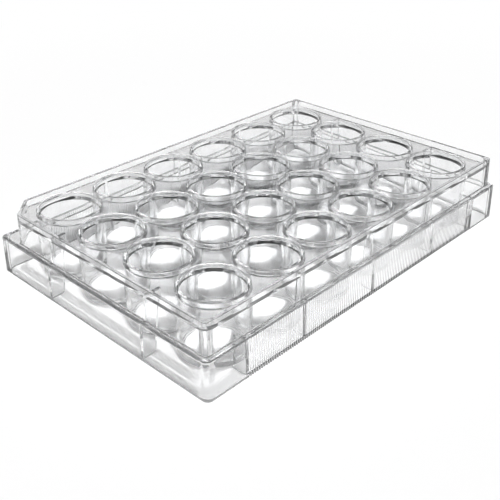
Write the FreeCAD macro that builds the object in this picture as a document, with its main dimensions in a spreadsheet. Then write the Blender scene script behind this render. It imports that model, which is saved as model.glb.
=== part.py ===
"""Twenty-four-well culture plate, moulded in one piece of clear polystyrene.

Frame: +Z up, the table is the plane Z = 0, and the origin is the middle of the underside.
X runs along the six columns and Y along the four rows.  The corner with the bevelled lip,
which tells the user which well is the first, is at -X and +Y.
"""

import FreeCAD, Part
import math
import os

import Sketcher

NODE = "well_plate"

# Driving dimensions in millimetres, apart from the counts and the two drafts, in degrees.
SIZES = [
    ("length", 127.76, "footprint of the skirt along X"),
    ("width", 85.48, "footprint of the skirt along Y"),
    ("height", 20.0, "table to the top of the lip"),
    ("skirt_height", 11.1, "table to the shelf that a lid rests on"),
    ("skirt_draft", 1.5, "slope of the skirt's faces, in degrees"),
    ("skirt_corner", 1.6, "upright corner edges of the skirt"),
    ("skirt_wall", 1.2, "wall of the skirt"),
    ("shelf_rounding", 0.7, "outer edge of the shelf"),
    ("shelf_thickness", 1.2, "shelf between the skirt and the upper wall"),
    ("shelf_fillet", 0.4, "fillet between the shelf and the upper wall"),
    ("shelf_short_side", 1.7, "width of the shelf at the two short sides"),
    ("shelf_long_side", 1.9, "width of the shelf at the two long sides"),
    ("upper_corner", 1.0, "upright corner edges of the upper wall"),
    ("upper_wall", 1.2, "wall between the shelf and the deck"),
    ("upper_draft", 2.0, "slope of the upper wall's faces, in degrees"),
    ("hollow_corner", 2.6, "upright corners of the hollow underneath"),
    ("bevel", 6.6, "bevel of the corner beside the first well, at the shelf"),
    ("lip_wall", 1.0, "thickness of the lip round the deck"),
    ("lip_height", 1.8, "deck to the top of the lip"),
    ("lip_rounding", 0.25, "top edges of the lip"),
    ("recess_corner", 3.0, "upright corners inside the lip"),
    ("deck_thickness", 1.1, "plate between the wells"),
    ("well_columns", 6, "wells along X"),
    ("well_rows", 4, "wells along Y"),
    ("well_pitch", 19.3, "centre to centre, both ways"),
    ("well_depth", 17.4, "rim to floor"),
    ("mouth_radius", 8.2, "inside of a well at its rim"),
    ("floor_radius", 7.8, "inside of a well at its floor"),
    ("well_wall", 1.0, "wall of a well"),
    ("floor_thickness", 1.25, "floor of a well"),
    ("rim_height", 1.3, "deck to the top of a well's rim"),
    ("rim_rounding", 0.2, "top edges of a rim"),
    ("rim_fillet", 0.2, "fillet between a rim and the deck"),
    ("floor_fillet", 0.9, "fillet between a well's wall and its floor"),
    ("base_bevel", 0.5, "bevelled edge under a well's floor"),
    ("web_thickness", 1.0, "webs between the outer walls and the wells"),
    ("web_clearance", 0.4, "table to the lower edge of a web"),
    ("web_corner", 1.0, "lower inner corner of a web"),
    ("web_lean", 2.2, "how far a short side's web draws in from top to foot"),
    ("grip_grooves", 126, "grooves of the grip on each long side"),
    ("grip_pitch", 0.8, "groove to groove"),
    ("grip_land", 0.2, "flat land between two grooves"),
    ("grip_depth", 0.35, "depth of a groove"),
]


def fill_sheet(doc):
    """The spreadsheet that drives every sketch and feature."""
    sheet = doc.addObject("Spreadsheet::Sheet", "sizes")
    for row, (alias, value, note) in enumerate(SIZES, start=1):
        sheet.set(f"A{row}", note)
        sheet.set(f"B{row}", str(value))
        sheet.setAlias(f"B{row}", alias)
    doc.recompute()
    return sheet


def derived():
    """Formulas shared by several features, each written once."""
    top = {
        "deck": "(sizes.height - sizes.lip_height)",
        "wall_x": "(sizes.length / 2 - sizes.shelf_short_side)",
        "wall_y": "(sizes.width / 2 - sizes.shelf_long_side)",
        "well_x": "(sizes.well_pitch * (sizes.well_columns - 1) / 2)",
        "well_y": "(sizes.well_pitch * (sizes.well_rows - 1) / 2)",
        "grip_half": "(sizes.grip_pitch * sizes.grip_grooves / 2)",
    }
    top["under_deck"] = f"({top['deck']} - sizes.deck_thickness)"
    top["rim_top"] = f"({top['deck']} + sizes.rim_height)"
    top["floor"] = f"({top['rim_top']} - sizes.well_depth)"
    top["well_base"] = f"({top['floor']} - sizes.floor_thickness)"
    top["hollow_top"] = "(sizes.skirt_height - sizes.shelf_thickness)"
    upper_height = "(sizes.height - sizes.skirt_height)"
    top["upper_lean"] = f"({upper_height} * tan(sizes.upper_draft * 1 deg))"
    return top


F = derived()


def origin_feature(body, role):
    """A plane or axis of the body's own origin."""
    return next(o for o in body.Origin.OriginFeatures if o.Role == role)


def sketch_on(body, name, plane, place=(None, None, None)):
    """An empty sketch on an origin plane, moved by up to three formulas in the plane's frame."""
    sketch = body.newObject("Sketcher::SketchObject", name)
    sketch.AttachmentSupport = [(origin_feature(body, plane), "")]
    sketch.MapMode = "FlatFace"
    for axis, formula in zip("xyz", place):
        if formula:
            sketch.setExpression(f"AttachmentOffset.Base.{axis}", formula)
    return sketch


def outline(sketch, corners):
    """Closed outline through corners given as (x formula, y formula, radius formula or None)."""
    count = len(corners)
    turn = [2 * math.pi * k / count for k in range(count)]
    start = [FreeCAD.Vector(math.cos(a), math.sin(a), 0) for a in turn]
    for k in range(count):
        sketch.addGeometry(Part.LineSegment(start[k], start[(k + 1) % count]), False)
    for k in range(count):
        sketch.addConstraint(Sketcher.Constraint("Coincident", k, 2, (k + 1) % count, 1))
    for k, (x, y, _) in enumerate(corners):
        for kind, formula, value in (("DistanceX", x, start[k].x), ("DistanceY", y, start[k].y)):
            number = sketch.addConstraint(Sketcher.Constraint(kind, -1, 1, k, 1, value))
            sketch.setExpression(f"Constraints[{number}]", formula)
    sketch.Document.recompute()
    for k, (_, _, radius) in enumerate(corners):
        if radius:
            first_guess = 0.01
            sketch.fillet((k - 1) % count, 2, first_guess, True, True)
            arc = sketch.GeometryCount - 2
            number = sketch.addConstraint(Sketcher.Constraint("Radius", arc, first_guess))
            sketch.setExpression(f"Constraints[{number}]", radius)
    sketch.Document.recompute()
    return sketch


def rectangle_corners(half_x, half_y, radius=None):
    """Corners of a rectangle about the origin."""
    signs = [("-", "-"), ("", "-"), ("", ""), ("-", "")]
    return [(f"{a}{half_x}", f"{b}{half_y}", radius) for a, b in signs]


def bevelled_corners(inset, radius=None):
    """Corners of the upper wall's outline at the shelf, moved inward by a formula."""
    half_x = f"({F['wall_x']} - {inset})"
    half_y = f"({F['wall_y']} - {inset})"
    leg = f"(sizes.bevel - (2 - sqrt(2)) * {inset})"
    return [
        (f"-{half_x}", f"-{half_y}", radius),
        (half_x, f"-{half_y}", radius),
        (half_x, half_y, radius),
        (f"-{half_x} + {leg}", half_y, None),
        (f"-{half_x}", f"{half_y} - {leg}", None),
    ]


def feature(body, kind, name, sketch, **formulas):
    """A pad, pocket or revolution of a sketch, with its sizes bound to formulas."""
    made = body.newObject(f"PartDesign::{kind}", name)
    made.Profile = sketch
    for key, formula in formulas.items():
        made.setExpression(key, formula)
    return made


def rounding(body, name, base, edges, formula):
    """Fillet of the listed edges of the feature before it."""
    if not edges:
        raise RuntimeError(f"{name}: no edge to round")
    made = body.newObject("PartDesign::Fillet", name)
    made.Base = (base, edges)
    made.setExpression("Radius", formula)
    body.Document.recompute()
    return made


def edges_where(shape, test):
    """Names of the edges whose middle point and edge pass a test."""
    names = []
    for number, edge in enumerate(shape.Edges, start=1):
        middle = edge.valueAt((edge.FirstParameter + edge.LastParameter) / 2)
        if test(middle, edge):
            names.append(f"Edge{number}")
    return names


def mirrored_both_ways(body, name, originals, planes):
    """Copies of features across one or two of the body's origin planes."""
    made = body.newObject("PartDesign::MultiTransform", name)
    steps = []
    for plane in planes:
        step = body.newObject("PartDesign::Mirrored", f"{name}_{plane.lower()}")
        step.MirrorPlane = (origin_feature(body, plane), [""])
        steps.append(step)
    made.Originals = originals
    made.Transformations = steps
    body.Tip = made
    return made


def grid_of_wells(body, name, original):
    """The first well's feature repeated over the columns and rows."""
    made = body.newObject("PartDesign::LinearPattern", name)
    made.Originals = [original]
    made.Direction = (origin_feature(body, "X_Axis"), [""])
    made.setExpression("Length", "sizes.well_pitch * (sizes.well_columns - 1)")
    made.setExpression("Occurrences", "sizes.well_columns")
    made.Direction2 = (origin_feature(body, "Y_Axis"), [""])
    made.setExpression("Length2", "sizes.well_pitch * (sizes.well_rows - 1)")
    made.setExpression("Occurrences2", "sizes.well_rows")
    body.Tip = made
    return made


def add_skirt(body, sheet):
    """The lower block that stands on the table, with its rounded and drafted outside."""
    sketch = outline(sketch_on(body, "skirt_outline", "XY_Plane"),
                     rectangle_corners("(sizes.length / 2)", "(sizes.width / 2)"))
    skirt = feature(body, "Pad", "skirt", sketch,
                    Length="sizes.skirt_height", TaperAngle="-sizes.skirt_draft")
    body.Document.recompute()
    upright = edges_where(skirt.Shape, lambda p, e: abs(p.z - sheet.skirt_height / 2) < 0.01)
    skirt = rounding(body, "skirt_corners", skirt, upright, "sizes.skirt_corner")
    rim = edges_where(skirt.Shape, lambda p, e: abs(p.z - sheet.skirt_height) < 0.01)
    return rounding(body, "shelf_edge", skirt, rim, "sizes.shelf_rounding")


def add_upper_block(body, sheet):
    """The block inside the shelf, up to the lip, with the bevelled corner."""
    sketch = outline(sketch_on(body, "upper_outline", "XY_Plane", (None, None, "sizes.skirt_height")),
                     bevelled_corners("0"))
    block = feature(body, "Pad", "upper_block", sketch,
                    Length="sizes.height - sizes.skirt_height", TaperAngle="-sizes.upper_draft")
    body.Document.recompute()
    middle = (sheet.height + sheet.skirt_height) / 2
    upright = edges_where(block.Shape, lambda p, e: abs(p.z - middle) < 0.01)
    block = rounding(body, "upper_corners", block, upright, "sizes.upper_corner")
    reach = sheet.length / 2 - sheet.shelf_short_side + 0.01
    side = sheet.width / 2 - sheet.shelf_long_side + 0.01

    def is_foot(point, edge):
        inside = abs(point.x) < reach and abs(point.y) < side
        return inside and abs(point.z - sheet.skirt_height) < 0.01

    rounding(body, "shelf_fillets", block, edges_where(block.Shape, is_foot), "sizes.shelf_fillet")


def hollow_out(body, sheet):
    """The open space under the shelf and the deck, and the recess above the deck."""
    inner = rectangle_corners("(sizes.length / 2 - sizes.skirt_wall)",
                              "(sizes.width / 2 - sizes.skirt_wall)", "sizes.hollow_corner")
    lower = feature(body, "Pocket", "skirt_hollow",
                    outline(sketch_on(body, "skirt_hollow_outline", "XY_Plane"), inner),
                    Length=F["hollow_top"], TaperAngle="-sizes.skirt_draft")
    lower.Reversed = True
    upper = feature(body, "Pocket", "upper_hollow",
                    outline(sketch_on(body, "upper_hollow_outline", "XY_Plane",
                                      (None, None, F["hollow_top"])),
                            bevelled_corners("sizes.upper_wall", "sizes.hollow_corner")),
                    Length=f"{F['under_deck']} - {F['hollow_top']}",
                    TaperAngle="-sizes.upper_draft")
    upper.Reversed = True
    recess = feature(body, "Pocket", "deck_recess",
                     outline(sketch_on(body, "deck_recess_outline", "XY_Plane",
                                       (None, None, "sizes.height")),
                             bevelled_corners(f"({F['upper_lean']} + sizes.lip_wall)",
                                              "sizes.recess_corner")),
                     Length="sizes.lip_height")
    body.Document.recompute()
    lip = edges_where(recess.Shape, lambda p, e: abs(p.z - sheet.height) < 0.01)
    rounding(body, "lip_edges", recess, lip, "sizes.lip_rounding")


def add_webs(body):
    """Upright webs that tie the outer walls to the wells, under the shelf and the deck."""
    half_wall = "sizes.well_wall / 2"
    mid_shelf = "(sizes.skirt_height - sizes.shelf_thickness / 2)"
    mid_deck = f"({F['under_deck']} + sizes.deck_thickness / 2)"

    def full_web(name, plane, place, outer, inner_face, well_centre, lean, planes):
        end = f"({well_centre} + sizes.floor_radius + {half_wall})"
        wall = f"({outer} - sizes.skirt_wall / 2)"
        upper = f"({inner_face} - sizes.upper_wall / 2)"
        sketch = outline(sketch_on(body, f"{name}_outline", plane, place), [
            (wall, "sizes.web_clearance", None),
            (wall, mid_shelf, None),
            (upper, mid_shelf, None),
            (upper, mid_deck, None),
            (end, mid_deck, None),
            (f"({end} + {lean})", "sizes.web_clearance", "sizes.web_corner"),
        ])
        web = feature(body, "Pad", name, sketch, Length="sizes.web_thickness")
        web.Midplane = True
        body.Document.recompute()
        mirrored_both_ways(body, f"{name}s", [web], planes)
        body.Document.recompute()

    both = ["XZ_Plane", "YZ_Plane"]
    full_web("short_side_web", "XZ_Plane", (None, None, "sizes.well_pitch"),
             "sizes.length / 2", F["wall_x"], F["well_x"], "sizes.web_lean", both)
    full_web("long_side_web", "YZ_Plane", (None, None, "1.5 * sizes.well_pitch"),
             "sizes.width / 2", F["wall_y"], F["well_y"], "0", both)
    full_web("middle_web", "YZ_Plane", (None, None, None),
             "sizes.width / 2", F["wall_y"], F["well_y"], "0", ["XZ_Plane"])

    offset = f"({F['grip_half']} - {F['well_x']})"
    reach = f"({F['well_y']} + sqrt((sizes.floor_radius + {half_wall})^2 - {offset}^2))"
    wall = "(sizes.width / 2 - sizes.skirt_wall / 2)"
    sketch = outline(sketch_on(body, "grip_end_web_outline", "YZ_Plane", (None, None, F["grip_half"])), [
        (wall, "sizes.web_clearance", None),
        (wall, mid_shelf, None),
        (reach, mid_shelf, None),
        (reach, "sizes.web_clearance", None),
    ])
    web = feature(body, "Pad", "grip_end_web", sketch, Length="sizes.web_thickness")
    web.Midplane = True
    body.Document.recompute()
    mirrored_both_ways(body, "grip_end_webs", [web], both)
    body.Document.recompute()


def add_wells(body, sheet):
    """Open cups that hang from the deck, their rims standing a little above it."""
    circle = sketch_on(body, "well_hole_outline", "XY_Plane",
                       (f"-{F['well_x']}", f"-{F['well_y']}", F["deck"]))
    middle_of_wall = "sizes.mouth_radius + sizes.well_wall / 2"
    circle.addGeometry(Part.Circle(FreeCAD.Vector(0, 0, 0), FreeCAD.Vector(0, 0, 1), 1), False)
    circle.addConstraint(Sketcher.Constraint("Coincident", 0, 3, -1, 1))
    number = circle.addConstraint(Sketcher.Constraint("Radius", 0, 1))
    circle.setExpression(f"Constraints[{number}]", middle_of_wall)
    hole = feature(body, "Pocket", "well_hole", circle, Length="sizes.deck_thickness * 1.5")
    body.Document.recompute()
    grid_of_wells(body, "well_holes", hole)
    body.Document.recompute()

    base_outer = "(sizes.floor_radius + sizes.well_wall)"
    rim_outer = "(sizes.mouth_radius + sizes.well_wall)"
    rim_rounding = "min(sizes.rim_rounding; 0.45 * sizes.well_wall)"
    section = outline(sketch_on(body, "well_section", "XZ_Plane",
                                (f"-{F['well_x']}", None, F["well_y"])), [
        ("0", F["well_base"], None),
        (f"{base_outer} - sizes.base_bevel", F["well_base"], None),
        (base_outer, f"({F['well_base']} + sizes.base_bevel)", None),
        (rim_outer, F["rim_top"], rim_rounding),
        ("sizes.mouth_radius", F["rim_top"], rim_rounding),
        ("sizes.floor_radius", F["floor"], "sizes.floor_fillet"),
        ("0", F["floor"], None),
    ])
    cup = body.newObject("PartDesign::Revolution", "well")
    cup.Profile = section
    cup.ReferenceAxis = (section, ["V_Axis"])
    cup.Angle = 360
    body.Document.recompute()
    wells = grid_of_wells(body, "wells", cup)
    body.Document.recompute()

    deck = sheet.height - sheet.lip_height
    inner, outer = sheet.mouth_radius, sheet.mouth_radius + 2 * sheet.well_wall

    def is_rim_foot(point, edge):
        round_edge = isinstance(edge.Curve, Part.Circle)
        return round_edge and abs(point.z - deck) < 0.01 and inner < edge.Curve.Radius < outer

    rounding(body, "rim_feet", wells, edges_where(wells.Shape, is_rim_foot), "sizes.rim_fillet")


def cut_grip(body, sheet):
    """Upright V grooves on both long sides, sloping with the drafted skirt."""
    start = f"(-{F['grip_half']} + sizes.grip_pitch / 2)"
    half_groove = "((sizes.grip_pitch - sizes.grip_land) / 2)"
    face = "(-sizes.width / 2)"
    sketch = outline(sketch_on(body, "groove_outline", "XY_Plane"), [
        (f"{start} - {half_groove}", face, None),
        (start, f"{face} - sizes.grip_depth", None),
        (f"{start} + {half_groove}", face, None),
        (start, f"{face} + sizes.grip_depth", None),
    ])
    groove = feature(body, "Pocket", "groove", sketch)
    groove.UseCustomVector = True
    groove.Direction = FreeCAD.Vector(0, math.tan(math.radians(sheet.skirt_draft)), 1)
    groove.AlongSketchNormal = True
    groove.setExpression("Length", "sizes.skirt_height")
    body.Document.recompute()
    row = body.newObject("PartDesign::LinearPattern", "grip_row")
    row.Direction = (origin_feature(body, "X_Axis"), [""])
    row.setExpression("Length", "sizes.grip_pitch * (sizes.grip_grooves - 1)")
    row.setExpression("Occurrences", "sizes.grip_grooves")
    far = body.newObject("PartDesign::Mirrored", "grip_far_side")
    far.MirrorPlane = (origin_feature(body, "XZ_Plane"), [""])
    grip = body.newObject("PartDesign::MultiTransform", "grip")
    grip.Originals = [groove]
    grip.Transformations = [row, far]
    body.Tip = grip
    body.Document.recompute()


def build():
    doc = FreeCAD.newDocument("plate")
    sheet = fill_sheet(doc)
    body = doc.addObject("PartDesign::Body", "plate_body")
    body.Label = NODE
    add_skirt(body, sheet)
    add_upper_block(body, sheet)
    hollow_out(body, sheet)
    add_webs(body)
    add_wells(body, sheet)
    cut_grip(body, sheet)
    doc.recompute()
    return doc, body


def check(doc, body):
    """Stops the script if a feature failed or the solid isn't whole."""
    failed = [o.Name for o in doc.Objects if "Invalid" in o.State or "Error" in o.State]
    if failed:
        raise RuntimeError("failed features: " + ", ".join(failed))
    shape = body.Shape
    if shape.isNull() or not shape.isValid() or len(shape.Solids) != 1:
        raise RuntimeError("the plate isn't one valid solid")
    box = shape.optimalBoundingBox(False, False)
    print(f"{NODE}: volume {shape.Volume:.1f} mm3, "
          f"box {box.XLength:.2f} x {box.YLength:.2f} x {box.ZLength:.2f}, {len(shape.Faces)} faces")


def main():
    doc, body = build()
    check(doc, body)
    os.makedirs("parts", exist_ok=True)
    body.Shape.exportStep(os.path.join("parts", f"{NODE}.step"))


main()
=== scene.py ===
import math

import bpy
from mathutils import Matrix, Vector


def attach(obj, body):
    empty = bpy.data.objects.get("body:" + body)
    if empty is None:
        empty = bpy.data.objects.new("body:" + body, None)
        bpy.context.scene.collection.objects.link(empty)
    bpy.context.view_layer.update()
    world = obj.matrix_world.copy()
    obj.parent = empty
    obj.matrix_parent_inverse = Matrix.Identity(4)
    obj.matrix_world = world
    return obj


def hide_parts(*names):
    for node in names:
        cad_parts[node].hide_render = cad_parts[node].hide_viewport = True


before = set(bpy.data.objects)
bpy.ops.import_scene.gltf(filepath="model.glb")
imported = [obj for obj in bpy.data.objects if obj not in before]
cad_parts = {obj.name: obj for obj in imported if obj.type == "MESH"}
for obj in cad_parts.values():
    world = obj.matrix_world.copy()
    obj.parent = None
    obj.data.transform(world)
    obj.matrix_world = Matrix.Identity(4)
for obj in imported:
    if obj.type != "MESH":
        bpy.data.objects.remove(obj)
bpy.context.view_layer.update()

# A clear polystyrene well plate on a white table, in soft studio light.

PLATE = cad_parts["well_plate"]

# The camera, in metres and degrees.  The focal ratio is the focal length over the film's width.
FILM_WIDTH_MM = 36.0
FOCAL_RATIO = 1.5814
CAMERA_PLACE = Vector((-0.1560, -0.1445, 0.1199))
CAMERA_AZIMUTH = -46.18
CAMERA_ELEVATION = 30.14
CAMERA_ROLL = -0.15
NEAREST_SEEN = 0.01

# The plastic, polished and nearly colourless.  Its absorption darkens only long ways through it,
# such as those along a rim or a lip.
POLYSTYRENE_IOR = 1.59
POLYSTYRENE_TINT = (0.985, 0.987, 0.99, 1.0)
POLISH = 0.02
ABSORPTION_TINT = (0.40, 0.41, 0.42, 1.0)
ABSORPTION_PER_METRE = 20.0

# The waviness of moulded faces: waves to the metre, and the depth of the bump in metres.
WAVES = 90.0
WAVE_STRENGTH = 0.05
WAVE_DEPTH = 0.0001

# Of a shadow ray, the share that crosses a face square on, less than real plastic lets through,
# and the face's reflectances between which that share falls to nothing, as light that meets a
# face at a slant is bent elsewhere.
CLEARNESS = 0.78
SQUARE_ON = 0.06
SLANTING = 0.28

# The angle between two facets above which their edge stays sharp, the weld that joins facets,
# and the weight that keeps plane faces flat.
SHARP_EDGE = math.radians(28)
WELD_METRES = 1e-6
FULL_FACE_WEIGHT = 100

# The table: half its side, how far it lies under the plate's foot, the radii between which it
# turns into the plain background, and its grain.
FLOOR_WHITE = (0.95, 0.95, 0.95, 1.0)
FLOOR_HALF = 1.2
FLOOR_DROP = 0.00002
OPEN_FLOOR = (0.16, 0.30)
GRAIN = 400.0
GRAIN_STRENGTH = 0.02
GRAIN_DEPTH = 0.0002

# The key light leans over the front long side, so each well's mouth lights a patch of table.
# With the sky it lights the table to a level of about one.
KEY_DIRECTION = Vector((-3.3, -7.8, 19.0)).normalized()
KEY_STRENGTH = 2.65
KEY_SPREAD = math.radians(1.2)

# Heights in the sky, each the sine of an elevation, with the sky's brightness there.  Below the
# dark part stands a white backdrop, all the way round.
SKY_DARK = (0.50, 0.0)
SKY_BRIGHT = (0.75, 0.45)
BACKDROP_TOP = math.sin(math.radians(18))

# Light goes back and forth many times inside the plastic before it leaves.
BOUNCES = 64


def node(tree, kind, **inputs):
    """A shader node with some of its sockets set."""
    made = tree.nodes.new(kind)
    for name, value in inputs.items():
        made.inputs[name.replace("_", " ")].default_value = value
    return made


def arithmetic(tree, operation, first, second):
    """The output of a maths node, from a socket and another socket or a number."""
    made = tree.nodes.new("ShaderNodeMath")
    made.operation = operation
    tree.links.new(first, made.inputs[0])
    if isinstance(second, float):
        made.inputs[1].default_value = second
    else:
        tree.links.new(second, made.inputs[1])
    return made.outputs[0]


def blended(tree, factor, kind, first, second):
    """A mix of two shaders, led into the output of the given kind."""
    mix = node(tree, "ShaderNodeMixShader")
    tree.links.new(factor, mix.inputs["Fac"])
    tree.links.new(first, mix.inputs[1])
    tree.links.new(second, mix.inputs[2])
    out = node(tree, kind)
    tree.links.new(mix.outputs["Shader"], out.inputs["Surface"])
    return out


def new_material(name):
    """An empty node material and its tree."""
    material = bpy.data.materials.new(name)
    material.use_nodes = True
    material.node_tree.nodes.clear()
    return material, material.node_tree


def shadow_through_plastic(tree):
    """Light keeps its direction through a face, and the more aslant, the less gets through."""
    link = tree.links.new
    side = node(tree, "ShaderNodeNewGeometry")
    index = node(tree, "ShaderNodeMapRange", To_Min=POLYSTYRENE_IOR, To_Max=1 / POLYSTYRENE_IOR)
    link(side.outputs["Backfacing"], index.inputs["Value"])
    mirror = node(tree, "ShaderNodeFresnel")
    link(index.outputs["Result"], mirror.inputs["IOR"])
    left = node(tree, "ShaderNodeMapRange", From_Min=SQUARE_ON, From_Max=SLANTING,
                To_Min=CLEARNESS, To_Max=0.0)
    link(mirror.outputs["Fac"], left.inputs["Value"])
    through = node(tree, "ShaderNodeBsdfTransparent")
    link(left.outputs["Result"], through.inputs["Color"])
    return through.outputs["BSDF"]


def clear_polystyrene():
    """Clear plastic, with the faint waviness of moulded faces."""
    material, tree = new_material("clear polystyrene")
    link = tree.links.new
    place = node(tree, "ShaderNodeTexCoord")
    waves = node(tree, "ShaderNodeTexNoise", Scale=WAVES, Detail=1.0)
    link(place.outputs["Object"], waves.inputs["Vector"])
    bump = node(tree, "ShaderNodeBump", Strength=WAVE_STRENGTH, Distance=WAVE_DEPTH)
    link(waves.outputs["Fac"], bump.inputs["Height"])
    plastic = node(tree, "ShaderNodeBsdfPrincipled", Base_Color=POLYSTYRENE_TINT,
                   Roughness=POLISH, IOR=POLYSTYRENE_IOR, Transmission_Weight=1.0)
    link(bump.outputs["Normal"], plastic.inputs["Normal"])
    rays = node(tree, "ShaderNodeLightPath")
    out = blended(tree, rays.outputs["Is Shadow Ray"], "ShaderNodeOutputMaterial",
                  plastic.outputs["BSDF"], shadow_through_plastic(tree))
    haze = node(tree, "ShaderNodeVolumeAbsorption", Color=ABSORPTION_TINT,
                Density=ABSORPTION_PER_METRE)
    link(haze.outputs["Volume"], out.inputs["Volume"])
    return material


def seen_directly(tree):
    """A factor of one for rays from the camera, off a gloss or through clear plastic."""
    rays = node(tree, "ShaderNodeLightPath").outputs
    direct = arithmetic(tree, "MAXIMUM", rays["Is Camera Ray"], rays["Is Glossy Ray"])
    return arithmetic(tree, "MAXIMUM", direct, rays["Is Transmission Ray"])


def white_floor():
    """Matt white table that turns into a plain white background away from the plate."""
    material, tree = new_material("white table")
    link = tree.links.new
    place = node(tree, "ShaderNodeTexCoord")
    distance = node(tree, "ShaderNodeVectorMath")
    distance.operation = "LENGTH"
    link(place.outputs["Object"], distance.inputs[0])
    fade = node(tree, "ShaderNodeMapRange", From_Min=OPEN_FLOOR[0], From_Max=OPEN_FLOOR[1])
    fade.interpolation_type = "SMOOTHSTEP"
    link(distance.outputs["Value"], fade.inputs["Value"])
    away = arithmetic(tree, "MULTIPLY", fade.outputs["Result"], seen_directly(tree))
    grain = node(tree, "ShaderNodeTexNoise", Scale=GRAIN, Detail=2.0)
    link(place.outputs["Object"], grain.inputs["Vector"])
    bump = node(tree, "ShaderNodeBump", Strength=GRAIN_STRENGTH, Distance=GRAIN_DEPTH)
    link(grain.outputs["Fac"], bump.inputs["Height"])
    matt = node(tree, "ShaderNodeBsdfDiffuse", Color=FLOOR_WHITE)
    link(bump.outputs["Normal"], matt.inputs["Normal"])
    glow = node(tree, "ShaderNodeEmission", Strength=1.0)
    blended(tree, away, "ShaderNodeOutputMaterial", matt.outputs["BSDF"],
            glow.outputs["Emission"])
    return material


def add_floor():
    """The table, a flat square just under the plate's foot."""
    mesh = bpy.data.meshes.new("floor")
    h = FLOOR_HALF
    mesh.from_pydata([(-h, -h, 0), (h, -h, 0), (h, h, 0), (-h, h, 0)], [], [(0, 1, 2, 3)])
    floor = bpy.data.objects.new("floor", mesh)
    floor.location.z = -FLOOR_DROP
    bpy.context.collection.objects.link(floor)
    mesh.materials.append(white_floor())


def add_world():
    """A wide, soft light overhead, a dark studio and a white backdrop round the table."""
    world = bpy.data.worlds.new("studio")
    bpy.context.scene.world = world
    world.use_nodes = True
    tree = world.node_tree
    tree.nodes.clear()
    link = tree.links.new
    place = node(tree, "ShaderNodeTexCoord")
    split = node(tree, "ShaderNodeSeparateXYZ")
    link(place.outputs["Generated"], split.inputs["Vector"])
    ramp = node(tree, "ShaderNodeValToRGB")
    for stop, (height, grey) in zip(ramp.color_ramp.elements, (SKY_DARK, SKY_BRIGHT)):
        stop.position, stop.color = height, (grey, grey, grey, 1)
    link(split.outputs["Z"], ramp.inputs["Fac"])
    sky = node(tree, "ShaderNodeBackground")
    link(ramp.outputs["Color"], sky.inputs["Color"])
    low = arithmetic(tree, "LESS_THAN", split.outputs["Z"], BACKDROP_TOP)
    backdrop = arithmetic(tree, "MULTIPLY", low, seen_directly(tree))
    white = node(tree, "ShaderNodeBackground", Color=(1, 1, 1, 1), Strength=1.0)
    blended(tree, backdrop, "ShaderNodeOutputWorld", sky.outputs["Background"],
            white.outputs["Background"])


def add_key_light():
    """The one lamp, far off, which draws the shadows."""
    lamp = bpy.data.lights.new("key", "SUN")
    lamp.energy = KEY_STRENGTH
    lamp.angle = KEY_SPREAD
    holder = bpy.data.objects.new("key", lamp)
    holder.rotation_euler = KEY_DIRECTION.to_track_quat("Z", "Y").to_euler()
    bpy.context.collection.objects.link(holder)


def add_camera():
    """The camera, looking down at the near corner of the plate."""
    azimuth = math.radians(CAMERA_AZIMUTH)
    elevation = math.radians(CAMERA_ELEVATION)
    back = Vector((math.sin(azimuth) * math.cos(elevation),
                   -math.cos(azimuth) * math.cos(elevation),
                   math.sin(elevation)))
    right = Vector((math.cos(azimuth), math.sin(azimuth), 0))
    up = back.cross(right)
    axes = Matrix((right, up, back)).transposed()
    turn = Matrix.Rotation(math.radians(CAMERA_ROLL), 3, "Z")
    lens = bpy.data.cameras.new("camera")
    lens.sensor_width = FILM_WIDTH_MM
    lens.lens = FOCAL_RATIO * FILM_WIDTH_MM
    lens.clip_start = NEAREST_SEEN
    camera = bpy.data.objects.new("camera", lens)
    camera.matrix_world = Matrix.Translation(CAMERA_PLACE) @ (axes @ turn).to_4x4()
    bpy.context.collection.objects.link(camera)
    bpy.context.scene.camera = camera


def smooth_copy(source):
    """A copy of a CAD node whose round faces are smooth and whose plane faces stay flat."""
    mesh = source.data.copy()
    piece = bpy.data.objects.new("clear_plate", mesh)
    bpy.context.collection.objects.link(piece)
    bpy.ops.object.select_all(action="DESELECT")
    bpy.context.view_layer.objects.active = piece
    piece.select_set(True)
    bpy.ops.mesh.customdata_custom_splitnormals_clear()
    weld = piece.modifiers.new("weld", "WELD")
    weld.merge_threshold = WELD_METRES
    bpy.ops.object.modifier_apply(modifier=weld.name)
    mesh.shade_smooth()
    mesh.set_sharp_from_angle(angle=SHARP_EDGE)
    even = piece.modifiers.new("flat planes", "WEIGHTED_NORMAL")
    even.weight = FULL_FACE_WEIGHT
    even.keep_sharp = True
    return piece


def dress_plate():
    """The plate as it is seen, in place of the CAD node."""
    piece = smooth_copy(PLATE)
    piece.data.materials.clear()
    piece.data.materials.append(clear_polystyrene())
    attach(piece, "root")
    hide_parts("well_plate")


dress_plate()
add_floor()
add_world()
add_key_light()
add_camera()
bpy.context.scene.view_settings.view_transform = "Standard"
bpy.context.scene.cycles.max_bounces = BOUNCES
bpy.context.scene.cycles.glossy_bounces = BOUNCES
bpy.context.scene.cycles.transmission_bounces = BOUNCES
